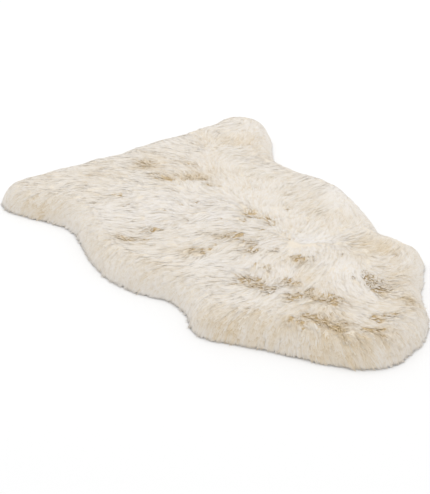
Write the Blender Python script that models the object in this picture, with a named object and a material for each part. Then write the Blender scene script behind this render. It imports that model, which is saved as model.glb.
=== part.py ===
"""Sheepskin rug: a tanned hide with its long fleece, lying flat with the wool side up.

Metres, +Z up, the floor at z = 0. The length runs along Y, with the two forelegs at +Y
and the rump at -Y. The origin is on the floor, in the middle of the rug's box.
"""

import math
import random
from dataclasses import dataclass

import bmesh
import bpy
from mathutils import Matrix, Vector, geometry, kdtree, noise

# The hide: tanned skin, cut a little inside the reach of the wool.
HIDE_THICKNESS = 0.0025
HIDE_EDGE_SEGMENTS = 140

# The fleece: a lumpy slab of standing wool on the hide, with locks that fall over its rim.
SEAT_GAP = 0.0003  # between the hide and the foot of the wool
FLEECE_TOP = 0.050  # height above the floor, away from the rim
SHOULDER_WIDTH = 0.048  # how far in from the rim the fleece takes to reach that height
SHOULDER_POWER = 2.6
RIM_ROWS = (0.010, 0.021)  # rows of surface points this far inside the slab's wall
GRID_STEP = 0.015  # between the surface points inside those rows
GRID_JITTER = 0.18  # how far each of them strays, as a share of the step
OUTLINE_STEPS = 12  # points on the outline's curve for each of its landmarks

# The locks at the rim.
LOCK_COUNT = 290
LOCK_REACH = 0.024
LOCK_REACH_SPREAD = 0.003
LOCK_SWAY = 0.0022  # how far a lock's tip leans sideways
LOCK_TIP_WIDTH = 0.0026
LOCK_TIP_HEIGHT = 0.0014
LOCK_WAIST = 0.52  # where a lock's middle section is, as a share of its reach
LOCK_WAIST_WIDTH = 0.78  # as a share of the room between its neighbours
LOCK_WAIST_FOOT = 0.0006  # how high the underside of that section is
HIDE_INSET = LOCK_REACH + 0.004

# Soft unevenness of the whole fleece: broad swells, and the tufts that the wool stands in.
SWELL_SIZE = 0.085
SWELL_HEIGHT = 0.0045
SWELL_PLACE = Vector((4.1, 2.7, 0.0))
TUFT_SIZE = 0.030
TUFT_HEIGHT = 0.0028
TUFT_PLACE = Vector((1.3, 8.2, 0.0))
RIM_WAVE = 0.0016  # the outline's own small waves
RIM_WAVE_SIZE = 0.034

# How far the wool reaches, clockwise from above.
OUTLINE = (
    # place on the skin, x, y
    ("right foreleg, fore corner", 0.281, 0.519),
    ("right foreleg, toe", 0.335, 0.471),
    ("right foreleg, heel", 0.328, 0.410),
    ("right armpit", 0.273, 0.318),
    ("right waist", 0.246, 0.240),
    ("right chest", 0.262, 0.168),
    ("right belly", 0.285, 0.085),
    ("right flank", 0.270, -0.012),
    ("right loin", 0.247, -0.093),
    ("right groin", 0.228, -0.139),
    ("right thigh", 0.238, -0.188),
    ("right hind foot", 0.250, -0.233),
    ("right hock", 0.207, -0.286),
    ("right rump", 0.155, -0.346),
    ("right haunch", 0.126, -0.401),
    ("right of the tail", 0.086, -0.446),
    ("tail, right", 0.029, -0.478),
    ("tail", -0.025, -0.494),
    ("tail, left", -0.075, -0.477),
    ("left of the tail", -0.120, -0.430),
    ("left rump", -0.174, -0.351),
    ("left hock", -0.216, -0.294),
    ("left hind foot", -0.251, -0.250),
    ("left thigh", -0.259, -0.212),
    ("left groin", -0.238, -0.160),
    ("left loin", -0.240, -0.102),
    ("left flank", -0.277, -0.036),
    ("left belly", -0.294, 0.056),
    ("left chest", -0.282, 0.150),
    ("left waist", -0.264, 0.232),
    ("left armpit", -0.277, 0.292),
    ("left foreleg, heel", -0.312, 0.350),
    ("left foreleg, toe", -0.333, 0.402),
    ("left foreleg, fore corner", -0.317, 0.448),
    ("left shoulder", -0.246, 0.463),
    ("left of the neck", -0.120, 0.471),
    ("neck", 0.000, 0.476),
    ("right of the neck", 0.110, 0.493),
    ("right shoulder", 0.207, 0.504),
)

# Where the wool falls open and the fleece dips.
PARTINGS = (
    # x, y, heading in degrees, length, half width, depth
    (-0.095, -0.195, -77, 0.100, 0.017, 0.006),
    (-0.047, -0.304, -58, 0.100, 0.017, 0.006),
    (-0.084, -0.369, -69, 0.080, 0.015, 0.006),
    (-0.028, -0.446, -66, 0.060, 0.014, 0.004),
    (0.084, -0.297, -103, 0.120, 0.017, 0.006),
    (0.021, -0.418, -9, 0.072, 0.013, 0.005),
    (0.047, 0.008, -79, 0.095, 0.015, 0.005),
    (-0.016, -0.062, -104, 0.080, 0.014, 0.004),
    (0.034, 0.230, -69, 0.110, 0.016, 0.005),
    (-0.020, 0.345, -85, 0.060, 0.014, 0.004),
    (-0.149, 0.092, -66, 0.065, 0.014, 0.005),
    (-0.202, 0.066, -68, 0.060, 0.013, 0.005),
    (0.158, 0.029, -84, 0.140, 0.015, 0.004),
    (-0.050, 0.142, -75, 0.045, 0.013, 0.004),
)

# Where the wool stands fuller.
MOUNDS = (
    # x, y, radius, height
    (0.048, -0.222, 0.055, 0.007),
    (-0.110, -0.106, 0.060, 0.005),
    (0.108, -0.070, 0.060, 0.004),
    (-0.122, -0.280, 0.050, 0.004),
    (-0.020, -0.372, 0.035, 0.004),
    (0.138, 0.290, 0.070, 0.004),
    (0.058, 0.120, 0.050, 0.004),
    (-0.192, 0.290, 0.060, 0.004),
    (-0.082, 0.210, 0.055, 0.004),
    (0.148, -0.220, 0.040, 0.005),
)

HIDE_COLOUR = (0.74, 0.62, 0.46, 1.0)
HIDE_ROUGHNESS = 0.85
FLEECE_COLOUR = (0.82, 0.75, 0.65, 1.0)
FLEECE_ROUGHNESS = 0.95
SEED = 11


def clear_scene():
    """Empty the scene that the script runs in."""
    for obj in list(bpy.data.objects):
        bpy.data.objects.remove(obj)


def new_collection(name):
    """A collection of that name, linked into the scene."""
    collection = bpy.data.collections.new(name)
    bpy.context.scene.collection.children.link(collection)
    return collection


def new_material(name, colour, roughness):
    """A plain material of one colour."""
    material = bpy.data.materials.new(name)
    material.use_nodes = True
    surface = material.node_tree.nodes["Principled BSDF"]
    surface.inputs["Base Color"].default_value = colour
    surface.inputs["Roughness"].default_value = roughness
    surface.inputs["Metallic"].default_value = 0.0
    material.diffuse_color = colour
    return material


def spline_point(before, start, end, after, share):
    """The point that share of the way from start to end on a smooth curve through all four."""
    return 0.5 * (
        2 * start
        + (end - before) * share
        + (2 * before - 5 * start + 4 * end - after) * share**2
        + (3 * start - before - 3 * end + after) * share**3
    )


def closed_curve(corners, steps):
    """A smooth closed line through the corners, with that many points between each two."""
    count = len(corners)
    return [
        spline_point(*(corners[(i + k) % count] for k in (-1, 0, 1, 2)), step / steps)
        for i in range(count)
        for step in range(steps)
    ]


def evenly_spaced(line, count):
    """The closed line again, as that many points at equal distances along it."""
    ends = line[1:] + line[:1]
    total = sum((b - a).length for a, b in zip(line, ends))
    spaced = []
    travelled = 0.0
    for a, b in zip(line, ends):
        length = (b - a).length
        while len(spaced) < count and len(spaced) * total / count < travelled + length:
            share = (len(spaced) * total / count - travelled) / length
            spaced.append(a.lerp(b, share))
        travelled += length
    return spaced


def outward_normals(line, reach=3):
    """The outward direction at each point of a clockwise closed line, evened over its neighbours."""
    count = len(line)
    normals = []
    for i in range(count):
        along = line[(i + reach) % count] - line[i - reach]
        normals.append(Vector((-along.y, along.x, 0.0)).normalized())
    return normals


def inset(line, distance):
    """The closed line moved inwards."""
    return [p - n * distance for p, n in zip(line, outward_normals(line))]


def wool_edge():
    """How far the wool reaches, as LOCK_COUNT points around the rug, centred on the origin."""
    corners = [Vector((x, y, 0.0)) for _, x, y in OUTLINE]
    edge = evenly_spaced(closed_curve(corners, OUTLINE_STEPS), LOCK_COUNT)
    waved = []
    for point, normal in zip(edge, outward_normals(edge)):
        waved.append(point + normal * RIM_WAVE * noise.noise(point / RIM_WAVE_SIZE))
    low = Vector((min(p.x for p in waved), min(p.y for p in waved), 0.0))
    high = Vector((max(p.x for p in waved), max(p.y for p in waved), 0.0))
    return [p - (low + high) / 2 for p in waved]


def tree_of(points):
    """A search tree of the points."""
    tree = kdtree.KDTree(len(points))
    for index, point in enumerate(points):
        tree.insert(point, index)
    tree.balance()
    return tree


def parting_dip(place):
    """How far the partings lower the fleece at a place."""
    dip = 0.0
    for x, y, heading, length, half_width, depth in PARTINGS:
        turned = Matrix.Rotation(math.radians(-heading), 2) @ (place.xy - Vector((x, y)))
        along = turned.x / (length / 2)
        across = turned.y / half_width
        dip = max(dip, depth * math.exp(-(along**4) - across**2))
    return dip


def mound_rise(place):
    """How far the mounds raise the fleece at a place."""
    return sum(
        height * math.exp(-((place.xy - Vector((x, y))).length / radius) ** 2)
        for x, y, radius, height in MOUNDS
    )


def shoulder(distance):
    """How much of its height the fleece has at a distance in from the rim, from 0 to 1."""
    return 1 - (1 - min(1.0, distance / SHOULDER_WIDTH)) ** SHOULDER_POWER


def fleece_height(place, edge_tree):
    """The height of the fleece's surface above the floor."""
    share = shoulder(edge_tree.find(place)[2])
    swell = SWELL_HEIGHT * noise.noise(place / SWELL_SIZE + SWELL_PLACE)
    tufts = TUFT_HEIGHT * noise.noise(place / TUFT_SIZE + TUFT_PLACE)
    return FLEECE_TOP * share + (swell + tufts + mound_rise(place) - parting_dip(place)) * share**2


def inner_points(wall, edge_tree, rng):
    """Points inside the wall: rows that follow it, then an uneven triangular grid."""
    points = []
    for row in RIM_ROWS:
        points += inset(wall, row)[::2]
    clear = LOCK_REACH + RIM_ROWS[-1] + GRID_STEP / 2
    left, right = min(p.x for p in wall), max(p.x for p in wall)
    low, high = min(p.y for p in wall), max(p.y for p in wall)
    row_step = GRID_STEP * math.sqrt(3) / 2
    for row in range(math.ceil((high - low) / row_step)):
        for column in range(math.ceil((right - left) / GRID_STEP)):
            x = left + (column + 0.5 * (row % 2)) * GRID_STEP
            jitter = Vector((rng.uniform(-1, 1), rng.uniform(-1, 1), 0.0)) * GRID_STEP * GRID_JITTER
            place = Vector((x, low + row * row_step, 0.0)) + jitter
            if is_inside(place, wall) and edge_tree.find(place)[2] > clear:
                points.append(place)
    return points


def is_inside(place, line):
    """Whether a place is inside the closed line."""
    inside = False
    for a, b in zip(line, line[1:] + line[:1]):
        if (a.y > place.y) != (b.y > place.y):
            inside ^= place.x < a.x + (b.x - a.x) * (place.y - a.y) / (b.y - a.y)
    return inside


def fleece_surface(mesh, wall, edge_tree, rng):
    """Fill the mesh with the fleece's uneven top, as far out as the slab's wall."""
    flat = [p.xy for p in wall + inner_points(wall, edge_tree, rng)]
    rim = [(i, (i + 1) % len(wall)) for i in range(len(wall))]
    places, _, faces, *_ = geometry.delaunay_2d_cdt(flat, rim, [], 1, 1e-6)
    verts = []
    for place in places:
        spot = Vector((place.x, place.y, 0.0))
        verts.append(mesh.verts.new((spot.x, spot.y, fleece_height(spot, edge_tree))))
    for face in faces:
        mesh.faces.new([verts[i] for i in face])


def face_outwards(mesh):
    """Turn the faces of a closed mesh so that they all point out."""
    bmesh.ops.recalc_face_normals(mesh, faces=mesh.faces)
    if mesh.calc_volume(signed=True) < 0:
        bmesh.ops.reverse_faces(mesh, faces=mesh.faces)


def close_slab(mesh):
    """Give the open top a wall and a flat foot, and return the wall's faces."""
    border = [edge for edge in mesh.edges if edge.is_boundary]
    made = bmesh.ops.extrude_edge_only(mesh, edges=border)["geom"]
    foot = [item for item in made if isinstance(item, bmesh.types.BMVert)]
    for vert in foot:
        vert.co.z = HIDE_THICKNESS + SEAT_GAP
    walls = [item for item in made if isinstance(item, bmesh.types.BMFace)]
    border = [edge for edge in mesh.edges if edge.is_boundary]
    bmesh.ops.triangle_fill(mesh, edges=border, use_beauty=True, normal=(0, 0, -1))
    face_outwards(mesh)
    return walls


@dataclass(frozen=True)
class Lock:
    """One lock at the rim: where it leaves the slab, which way it falls and how far."""

    root: Vector
    outward: Vector
    reach: float
    sway: float
    room: float

    def middle(self, share):
        """The lock's middle line, that share of the way to its tip, on the floor's plane."""
        side = Vector((-self.outward.y, self.outward.x, 0.0))
        return self.root + self.outward * self.reach * share + side * self.sway * share**2


def plan_locks(wall, edge, rng):
    """A lock for each step of the slab's wall, ending at the same step of the wool's edge."""
    locks = []
    for i, (here, end) in enumerate(zip(wall, edge)):
        following = (i + 1) % len(wall)
        root = (here + wall[following]) / 2
        way = (end + edge[following]) / 2 - root
        locks.append(
            Lock(
                root=root,
                outward=way.normalized(),
                reach=way.length - LOCK_REACH_SPREAD * rng.random(),
                sway=rng.uniform(-LOCK_SWAY, LOCK_SWAY),
                room=min((wall[following] - here).length, (edge[following] - end).length),
            )
        )
    return locks


def move_section(face, lock, share, width, foot, top):
    """Move a lock's four-sided end that share of the way to its tip, that wide, from foot to top."""
    side = Vector((-lock.outward.y, lock.outward.x, 0.0))
    old = face.calc_center_median()
    for vert in face.verts:
        sign = 1 if (vert.co - old).dot(side) > 0 else -1
        height = top if vert.co.z > old.z else foot
        vert.co = lock.middle(share) + side * sign * width / 2
        vert.co.z = height


def grow_locks(mesh, number, walls, locks, edge_tree):
    """Draw each wall face out into its lock, which tapers down to the floor."""
    roots = tree_of([lock.root for lock in locks])
    for face in walls:
        centre = face.calc_center_median()
        face[number] = roots.find(Vector((centre.x, centre.y, 0.0)))[1]
    for share in (LOCK_WAIST, 1.0):
        walls = bmesh.ops.extrude_discrete_faces(mesh, faces=walls)["faces"]
        for face in walls:
            lock = locks[face[number]]
            if share < 1.0:
                top = fleece_height(lock.middle(share), edge_tree)
                move_section(face, lock, share, lock.room * LOCK_WAIST_WIDTH, LOCK_WAIST_FOOT, top)
            else:
                move_section(face, lock, share, LOCK_TIP_WIDTH, 0.0, LOCK_TIP_HEIGHT)


def build_fleece(collection, edge):
    """The fleece: one lumpy slab of wool with locks at its rim."""
    rng = random.Random(SEED)
    edge_tree = tree_of(evenly_spaced(edge, LOCK_COUNT * 4))
    wall = inset(edge, LOCK_REACH)
    mesh = bmesh.new()
    number = mesh.faces.layers.int.new("lock")
    fleece_surface(mesh, wall, edge_tree, rng)
    walls = close_slab(mesh)
    grow_locks(mesh, number, walls, plan_locks(wall, edge, rng), edge_tree)
    face_outwards(mesh)
    bmesh.ops.triangulate(mesh, faces=mesh.faces)
    data = bpy.data.meshes.new("fleece")
    mesh.to_mesh(data)
    mesh.free()
    data.materials.append(new_material("wool", FLEECE_COLOUR, FLEECE_ROUGHNESS))
    fleece = bpy.data.objects.new("fleece", data)
    collection.objects.link(fleece)
    return fleece


def build_hide(collection, edge):
    """The hide: a flat sheet of tanned skin with the outline of the wool, cut a little inside it."""
    points = evenly_spaced(inset(edge, HIDE_INSET), HIDE_EDGE_SEGMENTS)
    curve = bpy.data.curves.new("hide", "CURVE")
    curve.dimensions = "2D"
    curve.fill_mode = "BOTH"
    curve.extrude = HIDE_THICKNESS / 2
    spline = curve.splines.new("POLY")
    spline.points.add(len(points) - 1)
    for target, point in zip(spline.points, points):
        target.co = (point.x, point.y, 0.0, 1.0)
    spline.use_cyclic_u = True
    curve.materials.append(new_material("tanned_skin", HIDE_COLOUR, HIDE_ROUGHNESS))
    hide = bpy.data.objects.new("hide", curve)
    hide.location.z = HIDE_THICKNESS / 2
    collection.objects.link(hide)
    return hide


def main():
    """Build the rug."""
    clear_scene()
    collection = new_collection("sheepskin_rug")
    edge = wool_edge()
    build_hide(collection, edge)
    build_fleece(collection, edge)


main()
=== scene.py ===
"""The looks of a sheepskin rug: its hide, the matted wool on it and the long wool that falls open over it.

Metres, +Z up, the floor at z = 0, as in the CAD frame. The wool is combed along headings that were
read from the photograph, and it falls open along a short list of partings.
"""

from __future__ import annotations

import logging
import math
from dataclasses import dataclass, field
from enum import Enum, IntEnum
from typing import Callable, NamedTuple

import bmesh
import bpy
import numpy as np
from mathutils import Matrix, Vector
from mathutils.bvhtree import BVHTree
from mathutils.kdtree import KDTree


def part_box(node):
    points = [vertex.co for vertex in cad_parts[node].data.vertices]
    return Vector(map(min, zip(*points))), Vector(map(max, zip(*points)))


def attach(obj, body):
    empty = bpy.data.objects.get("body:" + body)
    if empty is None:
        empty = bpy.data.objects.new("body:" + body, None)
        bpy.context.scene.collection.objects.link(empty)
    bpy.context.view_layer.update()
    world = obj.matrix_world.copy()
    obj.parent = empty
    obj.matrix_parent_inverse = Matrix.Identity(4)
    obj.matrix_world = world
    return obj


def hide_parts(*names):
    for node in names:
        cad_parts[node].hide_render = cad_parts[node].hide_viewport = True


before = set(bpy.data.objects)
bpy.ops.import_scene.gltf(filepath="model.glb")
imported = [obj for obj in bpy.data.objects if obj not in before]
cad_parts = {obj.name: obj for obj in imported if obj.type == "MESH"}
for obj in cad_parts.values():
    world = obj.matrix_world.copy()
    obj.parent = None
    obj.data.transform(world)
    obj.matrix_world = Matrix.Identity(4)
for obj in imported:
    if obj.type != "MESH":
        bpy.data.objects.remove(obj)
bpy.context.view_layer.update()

OPENNESS = "openness"
TINY = 1e-6
Colour = tuple[float, float, float]
Stops = tuple[tuple[float, Colour], ...]
Span = tuple[float, float]
Place = tuple[float, float, float]
Array = np.ndarray
Piece = bpy.types.Object
Socket = bpy.types.NodeSocket
log = logging.getLogger("sheepskin_rug")


class Node(Enum):
    """The CAD nodes, whose material slots have the same names."""

    HIDE = "hide"
    FLEECE = "fleece"


class Noise(IntEnum):
    """The seed of each pattern that makes the wool uneven."""

    STRANDS = 3
    PATCHES = 5
    SWELL = 7
    FLECKS = 9
    DRIFT_ALONG = 15
    DRIFT_ACROSS = 16
    COARSE_TOUSLE = 21
    FINE_TOUSLE = 23
    LUMPS = 31
    WISPS = 41
    CLUMPS = 51


class Heading(NamedTuple):
    """Which way the wool lies at a place, in degrees from +X."""

    x: float
    y: float
    degrees: float


class Parting(NamedTuple):
    """A line where the wool falls open and its ochre roots show."""

    x: float
    y: float
    length: float
    degrees: float
    half_width: float
    openness: float


class Area(NamedTuple):
    """A broad patch of wool that lies fuller or flatter, and is paler or more ochre than the rest. Some
    patches paint light and shade into the tone: the forelegs are darker as painted shade, the far rims paler
    as painted light, and two raised mounds paler partly as a painted highlight.
    """

    x: float
    y: float
    length: float
    width: float
    degrees: float
    rise: float
    tone: float


COMBED = tuple(Heading(*row) for row in (
    # x, y, degrees
    # the left foreleg
    (-0.29, 0.36, -178), (-0.3, 0.34, 152), (-0.28, 0.31, 125),
    (-0.25, 0.32, 175), (-0.26, 0.28, 169), (-0.26, 0.26, 158),
    (-0.23, 0.39, 139), (-0.21, 0.33, 128), (-0.22, 0.23, 149),
    (-0.24, 0.18, 116),
    # the neck and shoulders
    (-0.14, 0.29, 147), (-0.17, 0.4, 111), (-0.06, 0.36, 130),
    (0.06, 0.38, 110), (0.06, 0.2, 96), (-0.14, 0.17, 142),
    (-0.08, 0.09, 144),
    # the right foreleg and shoulder
    (0.21, 0.35, 48), (0.18, 0.25, 4), (0.14, 0.1, 29),
    (0.16, 0.04, 32),
    # the left side
    (-0.26, 0.11, 135), (-0.29, 0.07, 128), (-0.28, 0.01, -150),
    (-0.27, 0.07, 162), (-0.25, 0.03, -179), (-0.22, 0.01, 142),
    (-0.26, -0.01, 164), (-0.24, -0.06, 178), (-0.23, -0.07, 163),
    (-0.26, -0.06, -172), (-0.24, -0.11, 165), (-0.21, -0.14, 151),
    (-0.23, -0.15, 124), (-0.24, -0.23, 170), (-0.18, -0.1, 152),
    (-0.16, 0.02, 157),
    # the left hind foot
    (-0.23, -0.24, 179), (-0.24, -0.26, -137), (-0.21, -0.29, -135),
    (-0.19, -0.29, 170), (-0.19, -0.32, 178), (-0.21, -0.3, -146),
    (-0.19, -0.33, -156), (-0.15, -0.31, -170), (-0.17, -0.24, 179),
    # the near rim of the tail
    (-0.16, -0.36, -146), (-0.15, -0.38, -132), (-0.13, -0.39, -155),
    (-0.15, -0.39, -117), (-0.13, -0.42, -91), (-0.1, -0.45, -85),
    (-0.08, -0.45, -95), (-0.08, -0.48, -88), (-0.06, -0.49, -85),
    (-0.04, -0.5, -71),
    # the tail and rump
    (-0.02, -0.49, -59), (0.01, -0.48, -41), (0.05, -0.47, -12),
    (0.02, -0.45, -5), (-0.02, -0.45, -82), (-0.08, -0.42, -122),
    (0.03, -0.37, -96), (-0.08, -0.3, -140), (0.1, -0.42, 14),
    (0.1, -0.37, 11), (0.19, -0.28, 33),
    # the right side
    (0.14, -0.2, 19), (0.17, -0.04, 20), (0.1, -0.07, 23),
    (0.06, -0.27, -122), (0.05, -0.23, -129),
    # the back
    (-0.04, -0.08, -167), (-0.04, 0.07, 141), (0.07, 0.0, 98),
))

PARTINGS = tuple(Parting(*row) for row in (
    # x, y, length, degrees, half width, openness
    # the rump
    (-0.111, -0.22, 0.096, -68, 0.013, 1.0),
    (-0.057, -0.243, 0.036, -72, 0.014, 0.9),
    (-0.086, -0.292, 0.043, 0, 0.011, 0.8),
    (-0.043, -0.314, 0.077, -65, 0.014, 0.9),
    (-0.084, -0.386, 0.098, -81, 0.014, 1.0),
    (-0.073, -0.455, 0.042, -79, 0.008, 0.5),
    (-0.124, -0.356, 0.045, -44, 0.011, 0.7),
    (0.069, -0.323, 0.106, 75, 0.013, 1.0),
    (0.011, -0.429, 0.069, -6, 0.009, 0.8),
    (-0.032, -0.454, 0.059, -60, 0.01, 0.8),
    (0.082, -0.406, 0.041, -76, 0.012, 0.6),
    (-0.228, -0.28, 0.067, -56, 0.01, 0.3),
    (-0.174, -0.284, 0.045, -53, 0.008, 0.4),
    # the back and belly
    (0.038, -0.007, 0.102, -80, 0.009, 0.8),
    (-0.048, -0.037, 0.104, -40, 0.01, 0.7),
    (-0.045, -0.09, 0.075, 76, 0.01, 0.7),
    (-0.07, -0.164, 0.031, -15, 0.01, 0.6),
    (0.007, -0.178, 0.069, -59, 0.011, 0.6),
    (-0.142, -0.051, 0.055, 85, 0.01, 0.5),
    (-0.06, 0.126, 0.035, -56, 0.007, 0.5),
    (0.001, 0.099, 0.045, -45, 0.007, 0.4),
    (-0.161, 0.066, 0.065, -57, 0.009, 0.7),
    (-0.214, 0.057, 0.08, -65, 0.009, 0.8),
    # the shoulders
    (-0.026, 0.35, 0.054, 89, 0.013, 0.7),
    (-0.03, 0.274, 0.063, -79, 0.01, 0.7),
    (0.031, 0.235, 0.109, -49, 0.012, 0.6),
    (0.033, 0.176, 0.037, -65, 0.009, 0.8),
    (0.053, 0.29, 0.064, 88, 0.009, 0.4),
))

AREAS = tuple(Area(*row) for row in (
    # x, y, length, width, degrees, rise, tone
    # more ochre or lower, but for three that are a little paler
    (-0.032, -0.106, 0.05, 0.06, -32, -0.0005, 0.04),
    (0.05, -0.03, 0.04, 0.06, -32, 0.0, 0.1),
    (-0.235, 0.1, 0.06, 0.03, 100, 0.0, 0.06),
    (-0.029, -0.259, 0.085, 0.09, -32, -0.001, 0.0),
    (0.133, -0.315, 0.045, 0.1, -32, -0.0005, -0.11),
    (0.082, -0.406, 0.035, 0.06, -32, -0.0005, -0.14),
    (-0.06, -0.42, 0.07, 0.06, -32, 0.0, -0.05),
    (-0.15, -0.39, 0.14, 0.05, -45, 0.0, -0.09),
    (-0.06, -0.49, 0.07, 0.04, -15, 0.0, -0.3),
    (-0.179, -0.341, 0.08, 0.035, -50, 0.0, -0.12),
    (-0.122, 0.343, 0.07, 0.05, -10, 0.0, -0.12),
    (-0.265, -0.04, 0.16, 0.035, 100, 0.0, -0.06),
    (-0.225, -0.285, 0.045, 0.04, -45, 0.0, -0.16),
    (0.14, -0.215, 0.06, 0.05, -32, 0.0, -0.26),
    (0.03, 0.23, 0.06, 0.03, -32, 0.0, -0.12),
    # painted shade: darker on the right foreleg
    (0.205, 0.35, 0.07, 0.06, -32, 0.0, -0.16),
    # painted shade: darker on the left foreleg
    (-0.265, 0.31, 0.06, 0.05, -32, 0.0, -0.1),
    (0.15, -0.03, 0.06, 0.05, -32, 0.0, -0.14),
    (0.02, 0.286, 0.09, 0.045, -40, -0.0005, -0.08),
    # painted shade: darker on the left foreleg's tip
    (-0.316, 0.307, 0.04, 0.035, -32, 0.0, -0.08),
    (0.001, -0.223, 0.07, 0.055, -32, 0.0, -0.16),
    # paler
    (-0.098, -0.207, 0.06, 0.045, -32, 0.0, 0.08),
    # these two are raised mounds, paler partly as a painted highlight on their tops
    (0.06, -0.132, 0.055, 0.036, -32, 0.0015, 0.4),
    (0.05, -0.275, 0.095, 0.036, -72, 0.003, 0.3),
    (-0.14, -0.123, 0.045, 0.04, -60, 0.001, 0.2),
    (-0.016, 0.032, 0.036, 0.032, -32, 0.0005, 0.12),
    (0.128, 0.341, 0.06, 0.07, -32, 0.0005, 0.04),
    (-0.051, -0.509, 0.036, 0.03, -32, 0.001, 0.2),
    (-0.14, 0.17, 0.1, 0.075, -32, 0.0005, 0.2),
    (-0.02, 0.09, 0.075, 0.05, -32, 0.0005, 0.17),
    # these two run along the far rims: paler as painted light shining through the wool at the edge
    (0.0, 0.45, 0.2, 0.03, 5, 0.0, 0.28),
    (0.25, 0.06, 0.22, 0.035, 83, 0.0, 0.24),
))


def pointing(degrees: float) -> Span:
    """The way that an angle from +X points."""
    turn = math.radians(degrees)
    return math.cos(turn), math.sin(turn)


def eased(values: Array, low: float, high: float) -> Array:
    """A smooth step from 0 at low to 1 at high."""
    share = np.clip((values - low) / (high - low), 0.0, 1.0)
    return share * share * (3.0 - 2.0 * share)


def faded(least: float, share: Array) -> Array:
    """From least, where the share is 0, to 1, where it is 1."""
    return least + (1 - least) * share


def unit(vectors: Array) -> Array:
    """The vectors along the last axis, each at length one."""
    return vectors / np.maximum(np.linalg.norm(vectors, axis=-1, keepdims=True), 1e-9)


def steepness(grid: Array, step: float = 1.0) -> Array:
    """How steeply a grid rises along x and y."""
    down, across = np.gradient(grid, step)
    return np.stack([across, down], -1)


def strip_of(along: Array, across: Array, length: float, half_width: float) -> Array:
    """A soft strip along a line: 1 on it and 0 well away from it."""
    return np.exp(-((2.0 * along / length) ** 4) - (across / half_width) ** 2)


def softened(grid: Array, cells: float) -> Array:
    """Blur a grid.

    Args:
        grid: The values.
        cells: How far it is blurred, in cells.

    Returns:
        The blurred values.
    """
    rows, columns = (np.fft.fftfreq(count)[:, None] for count in grid.shape)
    wide = -2.0 * (math.pi * cells) ** 2
    kept = np.exp(wide * rows**2) * np.exp(wide * columns**2).T
    return np.real(np.fft.ifft2(np.fft.fft2(grid) * kept))


def mottled(shape: tuple[int, int], cells: float, seed: int) -> Array:
    """Seeded soft noise on a grid, with a mean of zero and a spread of one.

    Args:
        shape: The grid's rows and columns.
        cells: The size of its blotches, in cells.
        seed: Which noise it is.

    Returns:
        The noise.
    """
    noise = softened(np.random.default_rng(seed).standard_normal(shape), cells)
    return (noise - noise.mean()) / noise.std()


def spread_out(grid: Array, reach: float, pick: Callable) -> Array:
    """The highest or lowest value that each cell has within reach.

    Args:
        grid: The values.
        reach: The reach, in cells.
        pick: np.maximum or np.minimum.

    Returns:
        The picked values.
    """
    span = range(-math.floor(reach), math.floor(reach) + 1)
    best = grid.copy()
    for rows in span:
        for columns in span:
            if math.hypot(rows, columns) <= reach:
                best = pick(best, np.roll(grid, (rows, columns), (0, 1)))
    return best


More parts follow.
